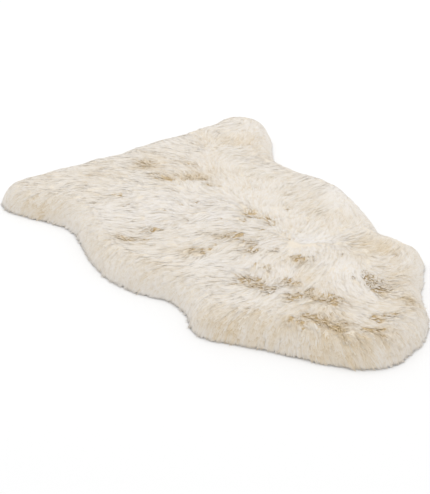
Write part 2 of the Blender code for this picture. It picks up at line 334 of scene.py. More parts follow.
@dataclass
class Relief:
    """The surface that the wool makes, as a grid of heights read from the fleece's solid."""

    step: float = 0.002
    border: float = 0.030
    ray_start: float = 0.2
    lock_gap: float = 0.009
    softness: float = 0.004
    foot: float = 0.0015
    rim_radius: float = 0.046
    rim_slack: float = 0.61
    # in cells
    rim_softness: float = 2.4
    outward_softness: float = 4.5
    dip_softness: float = 2.2
    end_room: float = 1.001
    # where the wool falls open
    parting_depth: float = 0.0010
    parting_spread: float = 1.55
    raggedness: float = 0.0045
    rag_size: float = 0.007
    patchiness: Span = (0.85, 0.35)
    patch_size: float = 0.004
    fleck_size: float = 0.005
    fleck_rarity: Span = (1.3, 2.6)
    fleck_openness: float = 0.7
    fleck_inset: float = 0.04
    fleck_middle: float = -0.03
    fleck_reach: Span = (0.20, 0.40)
    # how uneven it is
    swell: float = 0.0009
    swell_size: float = 0.016
    swell_tone: float = 0.04
    swell_inset: float = 0.030
    haze: float = 0.24
    haze_size: float = 0.008
    wisp_rise: float = 0.0004
    wisp_inset: float = 0.020
    wisp_calm: float = 0.5
    corner: Array = field(init=False)
    heights: Array = field(init=False)
    inside: Array = field(init=False)
    rim: Array = field(init=False)
    outward: Array = field(init=False)
    slope: Array = field(init=False)
    openness: Array = field(init=False)
    tone: Array = field(init=False)

    def __post_init__(self) -> None:
        """Read the solid and work out everything that the wool follows."""
        low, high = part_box(Node.FLEECE.value)
        self.corner = np.array([low.x - self.border, low.y - self.border])
        cells = (np.array([high.x, high.y]) + self.border - self.corner) / self.step
        self.heights = np.zeros((int(cells[1]) + 1, int(cells[0]) + 1))
        self._read_solid()
        closed = spread_out(self.heights, self.lock_gap / self.step, np.maximum)
        closed = spread_out(closed, self.lock_gap / self.step, np.minimum)
        self.inside = closed > self.foot
        self._measure_rim()
        self.openness = self._open_up()
        swell = mottled(self.heights.shape, self.swell_size / self.step, Noise.SWELL)
        areas = [(area, self._patch(area)) for area in AREAS]
        # the broad tone also carries the patches that paint light and shade (see AREAS)
        self.tone = self.swell_tone * swell + sum(area.tone * patch for area, patch in areas)
        self.tone -= self.haze * softened(self.openness, self.haze_size / self.step)
        full = eased(self.rim, 0.0, self.swell_inset)
        dip = self.parting_depth * softened(self.openness, self.dip_softness)
        smooth = softened(closed, self.softness / self.step)
        self.heights = np.maximum(smooth * self._round_rim(smooth) - full * dip, 0.0)
        rise = self.swell * swell + sum(area.rise * patch for area, patch in areas)
        self.heights += full * rise
        self.slope = steepness(self.heights, self.step)

    def raise_wisps(self, wisps: Array) -> None:
        """Raise the surface where the wool stands in wisps and lower it between them.

        Args:
            wisps: Where the wisps are, as a field with a spread of one.
        """
        inner = eased(self.rim, 0.0, self.wisp_inset)
        self.heights += wisps * self.wisp_rise * inner * (1 - self.wisp_calm * self.openness)
        self.slope = steepness(self.heights, self.step)

    def places(self) -> Array:
        """The place of each cell of the grid."""
        rows, columns = np.indices(self.heights.shape)
        return self.corner + np.stack([columns, rows], -1) * self.step

    def away_from(self, x: float, y: float) -> Array:
        """How far each cell is from a place."""
        return np.linalg.norm(self.places() - (x, y), axis=-1)

    def beside(self, mark: Parting | Area) -> tuple[Array, Array]:
        """Measure each cell against a mark's line.

        Args:
            mark: The mark.

        Returns:
            How far along the line each cell is, and how far to the left of it.
        """
        east, north = pointing(mark.degrees)
        offset = self.places() - (mark.x, mark.y)
        along = offset[..., 0] * east + offset[..., 1] * north
        return along, offset[..., 1] * east - offset[..., 0] * north

    def at(self, grid: Array, places: Array) -> Array:
        """A grid's values at places between its cells.

        Args:
            grid: Values on the relief's grid.
            places: Where to read them.

        Returns:
            A value, or a vector, for each place.
        """
        spot = (places - self.corner) / self.step
        rows, columns = self.heights.shape
        spot = np.clip(spot, 0.0, (columns - self.end_room, rows - self.end_room))
        cell = spot.astype(int)
        x, y = cell[..., 0], cell[..., 1]
        part = spot - cell
        across, up = part[..., 0], part[..., 1]
        if grid.ndim > 2:
            across, up = across[..., None], up[..., None]
        lower = grid[y, x] * (1 - across) + grid[y, x + 1] * across
        upper = grid[y + 1, x] * (1 - across) + grid[y + 1, x + 1] * across
        return lower * (1 - up) + upper * up

    def _read_solid(self) -> None:
        """Drop a ray on the fleece's solid at each cell."""
        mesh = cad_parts[Node.FLEECE.value].data
        tree = BVHTree.FromPolygons(
            [vert.co.copy() for vert in mesh.vertices],
            [tuple(polygon.vertices) for polygon in mesh.polygons],
        )
        down = Vector((0.0, 0.0, -1.0))
        places = self.places()
        for index in np.ndindex(self.heights.shape):
            x, y = places[index]
            hit = tree.ray_cast(Vector((x, y, self.ray_start)), down)[0]
            if hit is not None:
                self.heights[index] = hit.z

    def _measure_rim(self) -> None:
        """Measure how far in from the wool's edge each cell is, and which way is out."""
        edge = self.inside & ~spread_out(self.inside, 1, np.minimum)
        places = self.places()
        tree = KDTree(int(edge.sum()))
        for number, (x, y) in enumerate(places[edge]):
            tree.insert((x, y, 0.0), number)
        tree.balance()
        away = np.array([tree.find((x, y, 0.0))[2] for x, y in places.reshape(-1, 2)])
        away = away.reshape(self.heights.shape) * np.where(self.inside, 1.0, -1.0) + self.step / 2
        self.rim = softened(away, self.rim_softness)
        self.inside = self.rim > 0.0
        self.outward = unit(-steepness(softened(self.rim, self.outward_softness)))

    def _round_rim(self, smooth: Array) -> Array:
        """Work out how the wool rounds over its rim down to the floor.

        Args:
            smooth: The heights as they were read.

        Returns:
            What those heights are multiplied by.
        """
        marks = np.arange(0.0, self.rim_radius + self.step, self.step)
        bins = np.clip(np.round(self.rim / self.step).astype(int), 0, len(marks) - 1)
        found = np.array([smooth[self.inside & (bins == number)].mean() for number in range(len(marks))])
        share = np.clip(marks / self.rim_radius, 0.0, 1.0)
        wanted = found[-1] * (1 - (1 - share) ** 2) ** self.rim_slack
        return np.interp(self.rim, marks, wanted / found) * self.inside

    def _open_up(self) -> Array:
        """Open the wool along its ragged partings and in small flecks.

        Returns:
            How far it falls open at each cell, from 0 to 1.
        """
        shape = self.heights.shape
        mean, spread = self.patchiness
        ragged = mean + spread * mottled(shape, self.patch_size / self.step, Noise.PATCHES)
        drift = [
            self.raggedness * mottled(shape, self.rag_size / self.step, seed)
            for seed in (Noise.DRIFT_ALONG, Noise.DRIFT_ACROSS)
        ]
        openness = np.zeros(shape)
        for parting in PARTINGS:
            along, across = (distance + shift for distance, shift in zip(self.beside(parting), drift))
            line = strip_of(along, across, parting.length, self.parting_spread * parting.half_width)
            openness = np.maximum(openness, parting.openness * line)
        places, (wide, tall) = self.places(), self.fleck_reach
        middle = np.exp(-((places[..., 0] / wide) ** 4) - ((places[..., 1] - self.fleck_middle) / tall) ** 4)
        flecks = eased(mottled(shape, self.fleck_size / self.step, Noise.FLECKS), *self.fleck_rarity)
        flecks = self.fleck_openness * flecks * middle * (self.rim > self.fleck_inset)
        return np.clip(np.maximum(openness, flecks) * ragged, 0.0, 1.0)

    def _patch(self, area: Area) -> Array:
        """How far each cell is part of a broad patch, from 0 to 1."""
        along, across = self.beside(area)
        return np.exp(-((along / area.length) ** 2) - (across / area.width) ** 2)


@dataclass
class Combing:
    """Which way the wool lies at each place of the relief."""

    relief: Relief
    blend: float = 0.045
    combed: Span = (0.1, 0.8)
    weakest: float = 0.6
    rim_reach: float = 0.030
    rim_pull: float = 0.35
    parting_reach: float = 0.020
    parting_push: float = 0.35
    parting_crease: float = 0.004
    tousle: float = 0.30
    tousle_size: float = 0.016
    tousle_inset: float = 0.04
    # each layer's seed, size and share
    tousle_layers: tuple[tuple[Noise, float, float], ...] = (
        (Noise.COARSE_TOUSLE, 2.2, 0.7),
        (Noise.FINE_TOUSLE, 1.0, 0.6),
    )
    wisp_width: float = 0.0016
    wisp_steps: int = 10
    wisp_pace: float = 0.0022
    lie: Array = field(init=False)
    strength: Array = field(init=False)
    wisps: Array = field(init=False)

    def __post_init__(self) -> None:
        """Blend the headings, the pull of the rim and the push of the partings."""
        relief = self.relief
        lie = np.zeros(relief.outward.shape)
        total = np.full(relief.heights.shape, TINY)
        for heading in COMBED:
            near = np.exp(-((relief.away_from(heading.x, heading.y) / self.blend) ** 2) / 2)
            lie += near[..., None] * pointing(heading.degrees)
            total += near
        lie /= total[..., None]
        pull = self.rim_pull * (1 - eased(relief.rim, 0.0, self.rim_reach))
        strength = np.linalg.norm(lie, axis=-1, keepdims=True)
        self.strength = eased(strength[..., 0], *self.combed)
        lie = lie / np.maximum(strength, self.weakest) + relief.outward * pull[..., None]
        for parting in PARTINGS:
            along, across = relief.beside(parting)
            near = strip_of(along, across, parting.length, self.parting_reach)
            push = self.parting_push * parting.openness * near * np.tanh(across / self.parting_crease)
            lie += push[..., None] * pointing(parting.degrees + 90)
        cells = self.tousle_size / relief.step
        calm = eased(relief.rim, 0.0, self.tousle_inset)[..., None]
        for seed, size, share in self.tousle_layers:
            noise = [mottled(relief.heights.shape, size * cells, seed + axis) for axis in range(2)]
            lie += self.tousle * share * calm * np.stack(noise, -1)
        self.lie = unit(lie)
        self.wisps = self._draw_wisps()

    def _draw_wisps(self) -> Array:
        """Draw seeded noise out along the combing, so that it falls into wisps.

        Returns:
            Where the wisps are, as a field with a spread of one.
        """
        relief = self.relief
        noise = mottled(relief.heights.shape, self.wisp_width / relief.step, Noise.WISPS)
        drawn = noise.copy()
        for way in (1.0, -1.0):
            place = relief.places()
            for _ in range(self.wisp_steps):
                place = place + way * self.at(place) * self.wisp_pace
                drawn += relief.at(noise, place)
        return (drawn - drawn.mean()) / drawn[relief.inside].std()

    def at(self, places: Array) -> Array:
        """The way the wool lies at places."""
        return unit(self.relief.at(self.lie, places))


class Nodes:
    """A material's node tree, with the few ways of adding to it that the finishes share."""

    def __init__(self, name: str) -> None:
        """Make the material, with its shader.

        Args:
            name: The material's name.
        """
        self.material = bpy.data.materials.new(name)
        self.material.use_nodes = True
        self.tree = self.material.node_tree
        self.shader = self.tree.nodes["Principled BSDF"]

    def add(self, kind: str, **settings: object) -> bpy.types.Node:
        """Add a node.

        Args:
            kind: Its type.
            settings: Its settings.

        Returns:
            The node.
        """
        node = self.tree.nodes.new(kind)
        for name, value in settings.items():
            setattr(node, name, value)
        return node

    def link(self, source: Socket, target: Socket) -> None:
        """Join two sockets."""
        self.tree.links.new(source, target)

    def place(self, kind: str) -> Socket:
        """The Texture Coordinate output of that kind."""
        return self.add("ShaderNodeTexCoord").outputs[kind]

    def noise(self, scale: float, detail: float) -> Socket:
        """Noise on Object coordinates.

        Args:
            scale: How many blotches it has to a metre.
            detail: How many finer layers it has.

        Returns:
            The noise's value.
        """
        texture = self.add("ShaderNodeTexNoise")
        texture.inputs["Scale"].default_value = scale
        texture.inputs["Detail"].default_value = detail
        self.link(self.place("Object"), texture.inputs["Vector"])
        return texture.outputs["Fac"]

    def ramp(self, value: Socket, stops: Stops) -> Socket:
        """Colours chosen by a value.

        Args:
            value: The value that picks the colour.
            stops: Each stop's place and colour.

        Returns:
            The colour.
        """
        node = self.add("ShaderNodeValToRGB")
        elements = node.color_ramp.elements
        while len(elements) < len(stops):
            elements.new(0.5)
        for element, (place, colour) in zip(elements, stops):
            element.position = place
            element.color = (*colour, 1.0)
        self.link(value, node.inputs["Fac"])
        return node.outputs["Color"]

    def share(self, value: Socket, low: float, high: float) -> Socket:
        """How far a value is from low to high.

        Args:
            value: The value.
            low: Where the share is 0.
            high: Where it is 1.

        Returns:
            The share.
        """
        node = self.add("ShaderNodeMapRange")
        node.inputs["From Min"].default_value = low
        node.inputs["From Max"].default_value = high
        self.link(value, node.inputs["Value"])
        return node.outputs["Result"]

    def mix(self, share: Socket | float, low: Socket, high: Socket) -> Socket:
        """Mix two colours.

        Args:
            share: How much of the second there is.
            low: The first colour.
            high: The second colour.

        Returns:
            The mixed colour.
        """
        node = self.add("ShaderNodeMix", data_type="RGBA")
        if isinstance(share, float):
            node.inputs["Factor"].default_value = share
        else:
            self.link(share, node.inputs["Factor"])
        sockets = {socket.identifier: socket for socket in (*node.inputs, *node.outputs)}
        self.link(low, sockets["A_Color"])
        self.link(high, sockets["B_Color"])
        return sockets["Result_Color"]

    def bump(self, height: Socket, strength: float, distance: float) -> None:
        """Raise the surface by a height, for the shader alone.

        Args:
            height: The height.
            strength: How much of it shows.
            distance: How far it rises, in metres.
        """
        node = self.add("ShaderNodeBump")
        node.inputs["Strength"].default_value = strength
        node.inputs["Distance"].default_value = distance
        self.link(height, node.inputs["Height"])
        self.link(node.outputs["Normal"], self.shader.inputs["Normal"])


@dataclass(frozen=True)
class WoolFinish:
    """Cream wool, ochre towards its roots. Across the map is a strand's tone and up it its length. A strand's
    edges and underside sit lower on the map, so they are painted in the darker root colour as shade.
    """

    roughness: float = 0.62
    sheen: float = 0.18
    sheen_roughness: float = 0.45
    middle: float = 0.5
    # the roots' ochre, made darker and browner so that its deep end also paints the shade in the open
    # partings
    ochre_and_shade: Stops = (
        (0.0, (0.43, 0.29, 0.125)),
        (0.35, (0.54, 0.385, 0.18)),
        (0.70, (0.68, 0.53, 0.31)),
        (1.0, (0.77, 0.65, 0.46)),
    )
    cream: Stops = (
        (0.0, (0.64, 0.53, 0.378)),
        (0.22, (0.71, 0.638, 0.53)),
        (0.55, (0.745, 0.691, 0.62)),
        (1.0, (0.768, 0.729, 0.68)),
    )
    pale: Stops = (
        (0.0, (0.73, 0.658, 0.566)),
        (0.22, (0.79, 0.746, 0.685)),
        (0.55, (0.82, 0.786, 0.754)),
        (1.0, (0.84, 0.82, 0.803)),
    )

    def material(self) -> bpy.types.Material:
        """Make the material.

        Returns:
            The wool's material.
        """
        nodes = Nodes("wool")
        parts = nodes.add("ShaderNodeSeparateXYZ")
        nodes.link(nodes.place("UV"), parts.inputs["Vector"])
        tone, along = parts.outputs["X"], parts.outputs["Y"]
        ochre_and_shade, cream, pale = (
            nodes.ramp(along, stops) for stops in (self.ochre_and_shade, self.cream, self.pale)
        )
        colour = nodes.mix(nodes.share(tone, 0.0, self.middle), ochre_and_shade, cream)
        colour = nodes.mix(nodes.share(tone, self.middle, 1.0), colour, pale)
        nodes.link(colour, nodes.shader.inputs["Base Color"])
        nodes.shader.inputs["Roughness"].default_value = self.roughness
        nodes.shader.inputs["Sheen Weight"].default_value = self.sheen
        nodes.shader.inputs["Sheen Roughness"].default_value = self.sheen_roughness
        return nodes.material


@dataclass(frozen=True)
class MattedFinish:
    """The matted wool near the skin: ochre and cream, in short tangled clumps."""

    roughness: float = 0.9
    # the roots' ochre where the wool falls open, made darker partly as painted shade for those depths
    ochre: Stops = (
        (0.34, (0.34, 0.23, 0.105)),
        (0.50, (0.48, 0.35, 0.19)),
        (0.66, (0.61, 0.475, 0.285)),
    )
    cream: Stops = (
        (0.30, (0.75, 0.67, 0.55)),
        (0.70, (0.79, 0.725, 0.63)),
    )

    def material(self) -> bpy.types.Material:
        """Make the material.

        Returns:
            The matted wool's material.
        """
        nodes = Nodes("matted_wool")
        clumps = nodes.noise(scale=260.0, detail=4.0)
        opened = nodes.add("ShaderNodeAttribute", attribute_name=OPENNESS).outputs["Fac"]
        colour = nodes.mix(opened, nodes.ramp(clumps, self.cream), nodes.ramp(clumps, self.ochre))
        nodes.link(colour, nodes.shader.inputs["Base Color"])
        nodes.bump(nodes.noise(scale=420.0, detail=3.0), strength=0.6, distance=0.0012)
        nodes.shader.inputs["Roughness"].default_value = self.roughness
        return nodes.material


@dataclass(frozen=True)
class SkinFinish:
    """The suede side of tanned skin: pale buff, a little cloudy, with a fine nap."""

    roughness: float = 0.85
    sheen: float = 0.25
    clouds: Stops = (
        (0.32, (0.64, 0.53, 0.38)),
        (0.52, (0.74, 0.64, 0.49)),
        (0.70, (0.80, 0.71, 0.57)),
    )
    grain: Stops = (
        (0.35, (0.66, 0.55, 0.40)),
        (0.65, (0.78, 0.69, 0.54)),
    )
    grain_share: float = 0.35

    def material(self) -> bpy.types.Material:
        """Make the material.

        Returns:
            The skin's material.
        """
        nodes = Nodes("tanned_skin")
        clouds = nodes.ramp(nodes.noise(scale=9.0, detail=5.0), self.clouds)
        fine = nodes.noise(scale=340.0, detail=4.0)
        grain = nodes.ramp(fine, self.grain)
        nodes.link(nodes.mix(self.grain_share, clouds, grain), nodes.shader.inputs["Base Color"])
        nodes.bump(fine, strength=0.35, distance=0.0008)
        nodes.shader.inputs["Roughness"].default_value = self.roughness
        nodes.shader.inputs["Sheen Weight"].default_value = self.sheen
        return nodes.material


@dataclass(frozen=True)
class FloorFinish:
    """A plain pale studio floor."""

    colour: Colour = (0.872, 0.872, 0.872)
    roughness: float = 0.9

    def material(self) -> bpy.types.Material:
        """Make the material.

        Returns:
            The floor's material.
        """
        nodes = Nodes("studio_floor")
        nodes.shader.inputs["Base Color"].default_value = (*self.colour, 1.0)
        nodes.shader.inputs["Roughness"].default_value = self.roughness
        nodes.shader.inputs["Specular IOR Level"].default_value = 0.0
        return nodes.material


def deselect() -> None:
    """Leave nothing selected, so that the next operator acts on the new piece alone."""
    bpy.ops.object.select_all(action="DESELECT")


def placed(name: str, mesh: bpy.types.Mesh) -> Piece:
    """Put a mesh in the scene.

    Args:
        name: The piece's name.
        mesh: Its mesh.

    Returns:
        The piece.
    """
    piece = bpy.data.objects.new(name, mesh)
    bpy.context.scene.collection.objects.link(piece)
    return piece


def dress(obj: Piece, node: Node, material: bpy.types.Material) -> None:
    """Give a piece its material and its place in the frame.

    Args:
        obj: The finished piece.
        node: The CAD node that it stands for.
        material: Its finish.
    """
    obj.data.materials.clear()
    obj.data.materials.append(material)
    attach(obj, "root")
    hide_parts(node.value)
    log.info("%s: %d vertices", obj.name, len(obj.data.vertices))


@dataclass
class Hide:
    """The tanned skin: a flat sheet with a softly rounded rim."""

    finish: SkinFinish = SkinFinish()
    merged: float = 1e-5
    flat: float = math.radians(1)
    sharp: float = math.radians(60)
    smooth: float = math.radians(50)
    edge_radius: float = 0.0008
    edge_segments: int = 3

    def build(self) -> Piece:
        """Copy the solid's sheet, round its rim and dress it.

        Returns:
            The hide.
        """
        hide = placed("tanned_hide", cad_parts[Node.HIDE.value].data.copy())
        deselect()
        hide.select_set(True)
        bpy.context.view_layer.objects.active = hide
        bpy.ops.object.mode_set(mode="EDIT")
        bpy.ops.mesh.select_all(action="SELECT")
        bpy.ops.mesh.remove_doubles(threshold=self.merged)
        bpy.ops.mesh.dissolve_limited(angle_limit=self.flat)
        bpy.ops.mesh.select_all(action="DESELECT")
        bpy.ops.mesh.select_mode(type="EDGE")
        bpy.ops.mesh.edges_select_sharp(sharpness=self.sharp)
        bpy.ops.mesh.bevel(offset=self.edge_radius, segments=self.edge_segments, affect="EDGES")
        bpy.ops.mesh.select_all(action="SELECT")
        bpy.ops.mesh.quads_convert_to_tris()
        bpy.ops.object.mode_set(mode="OBJECT")
        bpy.ops.object.shade_smooth_by_angle(angle=self.smooth)
        dress(hide, Node.HIDE, self.finish.material())
        return hide


@dataclass
class MattedWool:
    """The dense wool near the skin, which closes the fleece under its long strands."""

    relief: Relief
    finish: MattedFinish = MattedFinish()
    mesh_step: float = 0.0038
    depth: float = 0.0003
    rim_inset: float = 0.0010
    foot: float = 0.0030
    thinnest: float = 0.002
    drop: float = 1.0
    lumps: float = 0.0002
    lump_cells: float = 2.2
    opened: Span = (0.1, 0.6)

    def build(self) -> Piece:
        """Cut a grid to the wool's outline, draw it up into a body and dress it.

        Returns:
            The matted wool.
        """
        relief = self.relief
        rows, columns = relief.heights.shape
        width, length = columns * relief.step, rows * relief.step
        deselect()
        bpy.ops.mesh.primitive_grid_add(
            x_subdivisions=round(width / self.mesh_step),
            y_subdivisions=round(length / self.mesh_step),
            size=1.0,
        )
        matted = bpy.context.object
        matted.name = "matted_wool"
        centre = relief.corner + (width / 2, length / 2)
        flat = self._places(matted.data)[:, :2] * (width, length) + centre
        self._move(matted.data, flat, np.zeros(len(flat)))
        keep = relief.at(relief.rim, flat) > self.rim_inset
        bpy.ops.object.mode_set(mode="EDIT")
        bpy.ops.mesh.select_mode(type="VERT")
        mesh = bmesh.from_edit_mesh(matted.data)
        for vert in mesh.verts:
            vert.select_set(not keep[vert.index])
        mesh.select_flush_mode()
        bmesh.update_edit_mesh(matted.data)
        bpy.ops.mesh.delete(type="VERT")
        self._trim(matted)
        bpy.ops.mesh.select_all(action="DESELECT")
        bpy.ops.mesh.select_mode(type="EDGE")
        bpy.ops.mesh.select_non_manifold(extend=False)
        bpy.ops.mesh.extrude_region_move(TRANSFORM_OT_translate={"value": (0.0, 0.0, -self.drop)})
        bpy.ops.mesh.fill(use_beauty=True)
        bpy.ops.mesh.select_all(action="SELECT")
        bpy.ops.mesh.normals_make_consistent(inside=False)
        bpy.ops.object.mode_set(mode="OBJECT")
        self._raise(matted.data)
        self._mark_partings(matted.data)
        bpy.ops.object.shade_smooth()
        dress(matted, Node.FLEECE, self.finish.material())
        return matted

    def _places(self, mesh: bpy.types.Mesh) -> Array:
        """Read where a mesh's vertices are.

        Args:
            mesh: The mesh.

        Returns:
            Their places.
        """
        flat = np.empty(len(mesh.vertices) * 3)
        mesh.vertices.foreach_get("co", flat)
        return flat.reshape(-1, 3)

    def _move(self, mesh: bpy.types.Mesh, flat: Array, heights: Array) -> None:
        """Move a mesh's vertices."""
        mesh.vertices.foreach_set("co", np.column_stack([flat, heights]).ravel())
        mesh.update()

    def _trim(self, matted: Piece) -> None:
        """Drop loose corners and draw the border out to an even distance from the rim.

        Args:
            matted: The matted wool, in edit mode.
        """
        mesh = bmesh.from_edit_mesh(matted.data)
        loose = [vert for vert in mesh.verts if not vert.link_faces]
        bmesh.ops.delete(mesh, geom=loose, context="VERTS")
        for vert in mesh.verts:
            if vert.is_boundary:
                place = np.array([vert.co.x, vert.co.y])
                out = self.relief.at(self.relief.outward, place)
                gap = float(self.relief.at(self.relief.rim, place)) - self.rim_inset
                vert.co.x += out[0] * gap
                vert.co.y += out[1] * gap
        bmesh.update_edit_mesh(matted.data)

    def _mark_partings(self, mesh: bpy.types.Mesh) -> None:
        """Note on the mesh how far the wool falls open, for the finish.

        Args:
            mesh: The matted wool's mesh.
        """
        opened = self.relief.at(self.relief.openness, self._places(mesh)[:, :2])
        layer = mesh.attributes.new(OPENNESS, "FLOAT", "POINT")
        layer.data.foreach_set("value", eased(opened, *self.opened).astype(np.float32))

    def _raise(self, mesh: bpy.types.Mesh) -> None:
        """Lift the upper sheet to its depth below the surface, and the lower one clear of the hide.

        Args:
            mesh: The matted wool's mesh.
        """
        places = self._places(mesh)
        flat = places[:, :2]
        lumps = self.lumps * mottled(self.relief.heights.shape, self.lump_cells, Noise.LUMPS)
        top = self.relief.at(self.relief.heights + lumps, flat) - self.depth
        top = np.maximum(top, self.foot + self.thinnest)
        self._move(mesh, flat, np.where(places[:, 2] > -self.drop / 2, top, self.foot))


@dataclass
class LongWool:
    """The long wool: wisps of strands that grow out of the matted wool and lie along the combing."""

    relief: Relief
    combing: Combing
    finish: WoolFinish = WoolFinish()
    pieces: int = 5
    lowest: float = 0.0004
    rim_band: float = 0.03
    # how closely the wisps grow
    wisp_room: float = 0.0056
    steepest: float = 4.0
    root_inset: float = 0.002
    more_upright: float = 0.9
    more_open: float = 1.2
    more_at_rim: float = 0.4
    # how long they are
    length: float = 0.044
    length_spread: float = 0.16
    length_limit: float = 2.0
    shortening: float = 0.58
    shortened: Span = (0.12, 0.5)
    upright_shortening: float = 0.3
    fringe: float = 0.0018
    open_limit: float = 0.42
    shy_share: float = 0.85
    shortest: float = 0.12
    # how they lie
    steps: int = 12
    stiffness: float = 0.5
    surfaced: float = 0.30
    upright: float = 0.5
    sway: float = 0.10
    tangle: float = 0.8
    upright_sway: float = 0.3
    stray_share: float = 0.03
    stray_sway: float = 0.5
    stray_rise: float = 0.0002
    curl: float = 0.25
    open_curl: float = 0.9
    calm_inset: float = 0.05
    rim_sway: float = 0.45
    rim_curl: float = 0.5
    layering: float = 0.0001
    tuft_rise: float = 0.0016
    tuft_shares: Span = (-1.0, 0.6)
    # what tone they have
    tone: float = 0.55
    tone_spread: float = 0.04
    open_tone: float = 0.08
    # painted shade: strands are darker in the valleys between the raised wisps and paler on their ridges
    wisp_valley_shade: float = 0.04
    ochre_size: float = 0.0024
    ochre_share: float = 0.39
    ochre_open: Span = (0.08, 0.55)
    ochre_tone: Span = (0.0, 0.18)
    clumping: float = 0.5
    clump_limits: Span = (-1.0, 1.0)
    # how their strands part and gather
    strands_to_a_wisp: int = 4
    reach: Span = (0.76, 1.0)
    rings: tuple[float, ...] = (0.33, 0.68)
    wisp_half_width: float = 0.0030
    wisp_crown: float = 0.0001
    crown_limits: Span = (0.05, 0.95)
    evenness: float = 0.8
    arch: float = 0.8
    stacking: Span = (0.2, 1.0)
    tip_gather: float = 0.70
    tip_power: float = 1.5
    rim_calm: float = 0.012
    rim_spread: float = 1.15
    sizes: Span = (0.35, 1.1)
    narrowest: float = 0.45
    waviness: float = 0.0007
    root_depth: float = 0.0022
    root_power: float = 1.6
    open_rise: float = 0.001
    # what each strand is like
    strand_width: float = 0.0013
    strand_widths: Span = (0.75, 1.25)
    thinnest: float = 0.6
    rim_breadth: float = 0.4
    strand_thickness: float = 0.00025
    taper: tuple[float, ...] = (0.9, 1.0)
    roundness: float = 0.08
    belly: float = 0.4
    strand_tone_spread: float = 0.045
    open_tone_spread: float = 0.12
    # where it lies on the map
    strip: float = 0.007
    # painted shade: a strand's edges and underside take colours from nearer its root, so they read darker and
    # warmer than its crown
    under: float = 0.30
    map_edge: float = 0.01
    map_ends: Span = (0.02, 0.98)
    rng: np.random.Generator = field(init=False)

    def build(self) -> list[Piece]:
        """Grow the wool and dress it.

        Returns:
            A few pieces side by side.
        """
        self.rng = np.random.default_rng(Noise.STRANDS)
        strands = self._split(self._comb(self._plant()))
        order = np.argsort(strands["centre"][:, 0, 1], kind="stable")
        material = self.finish.material()
        made = []
        for number, part in enumerate(np.array_split(order, self.pieces), 1):
            piece = self._weave(f"long_wool_{number}", {key: value[part] for key, value in strands.items()})
            dress(piece, Node.FLEECE, material)
            made.append(piece)
        return made

    def _plant(self) -> Array:
        """Choose where the wisps grow: evenly over the surface, so more to a steep cell.

        Returns:
            Their roots.
        """
        relief, rng = self.relief, self.rng
        block = max(1, round(self.wisp_room / relief.step))
        rows, columns = (count // block for count in relief.heights.shape)
        weight = np.minimum(np.sqrt(1 + (relief.slope**2).sum(-1)), self.steepest)
        weight *= 1 + self.more_upright * (1 - self.combing.strength)
        at_rim = self.more_at_rim * (1 - eased(relief.rim, 0.0, self.rim_band))
        weight *= (relief.rim > self.root_inset) * (1 + self.more_open * relief.openness + at_rim)
        weight = weight[: rows * block, : columns * block]
        share = weight.reshape(rows, block, columns, block).sum((1, 3)) * relief.step**2
        wanted = share / self.wisp_room**2
        counts = np.floor(wanted + rng.random(wanted.shape)).astype(int)
        row, column = np.nonzero(counts)
        cells = np.repeat(np.column_stack([column, row]), counts[row, column], axis=0)
        roots = relief.corner + (cells + rng.random(cells.shape)) * block * relief.step
        return roots[relief.at(relief.rim, roots) > self.root_inset]

    def _walk(self, roots: Array, lengths: Array, turn: Array, curl: Array) -> Array:
        """Follow the combing from each root.

        Args:
            roots: Where the wisps start.
            lengths: How long they are on the surface.
            turn: How far each strays from the combing, in radians.
            curl: How far it has turned more by its tip.

        Returns:
            The places along each wisp.
        """
        relief = self.relief
        path = np.empty((len(roots), self.steps + 1, 2))
        place = roots.copy()
        way = self.combing.at(place)
        for step in range(self.steps + 1):
            path[:, step] = place
            angle = turn + curl * step / self.steps
            x, y = self.combing.at(place).T
            cos, sin = np.cos(angle), np.sin(angle)
            turned = np.column_stack([x * cos - y * sin, x * sin + y * cos])
            way = unit(self.stiffness * way + (1 - self.stiffness) * turned)
            slope = relief.at(relief.slope, place)
            steep = (slope**2).sum(1)
            climb = (slope * way).sum(1)
            slack = climb / np.maximum(steep, TINY) * (1 - 1 / np.sqrt(1 + steep))
            pace = self.upright if step < self.surfaced * self.steps else 1.0
            place = place + (way - slope * slack[:, None]) * (pace * lengths / self.steps)[:, None]
        return path

    def _comb(self, roots: Array) -> dict[str, Array]:
        """Lay a wisp along the combing from each root, no further than the rim or an open parting.

        Args:
            roots: Where the wisps start.

        Returns:
            The wisps' paths, layers and tones, how open the wool is at their roots, and their lengths.
        """
        relief, rng = self.relief, self.rng
        count = len(roots)
        opened = relief.at(relief.openness, roots)
        most = self.length_limit
        lengths = self.length * (1 + self.length_spread * rng.standard_normal(count).clip(-most, most))
        lengths *= 1 - self.shortening * eased(opened, *self.shortened)
        stray = rng.random(count) < self.stray_share
        turn = rng.normal(0.0, self.sway, count) + stray * rng.normal(0.0, self.stray_sway, count)
        turn += opened * rng.normal(0.0, self.tangle, count)
        upright = 1 - relief.at(self.combing.strength, roots)
        turn += upright * rng.normal(0.0, self.upright_sway, count)
        lengths *= 1 - self.upright_shortening * upright
        calm = eased(relief.at(relief.rim, roots), 0.0, self.calm_inset)
        turn *= faded(self.rim_sway, calm)
        curl = rng.normal(0.0, self.curl, count) * faded(self.rim_curl, calm)
        curl += opened * rng.normal(0.0, self.open_curl, count)
        path = self._walk(roots, lengths, turn, curl)
        stop = relief.at(relief.rim, path) < -rng.uniform(0.0, self.fringe, count)[:, None]
        shy = (opened < self.open_limit) & (rng.random(count) < self.shy_share)
        stop |= (relief.at(relief.openness, path) > self.open_limit) & shy[:, None]
        stop[:, 0] = False
        share = np.clip((stop.argmax(1) - rng.random(count)) / self.steps, self.shortest, 1.0)
        lengths *= np.where(stop.any(1), share, 1.0)
        path = self._walk(roots, lengths, turn, curl)
        middle = path[:, self.steps // 2]
        layer = rng.normal(0.0, self.layering, count) + stray * self.stray_rise
        tone = self.tone + relief.at(relief.tone, middle)
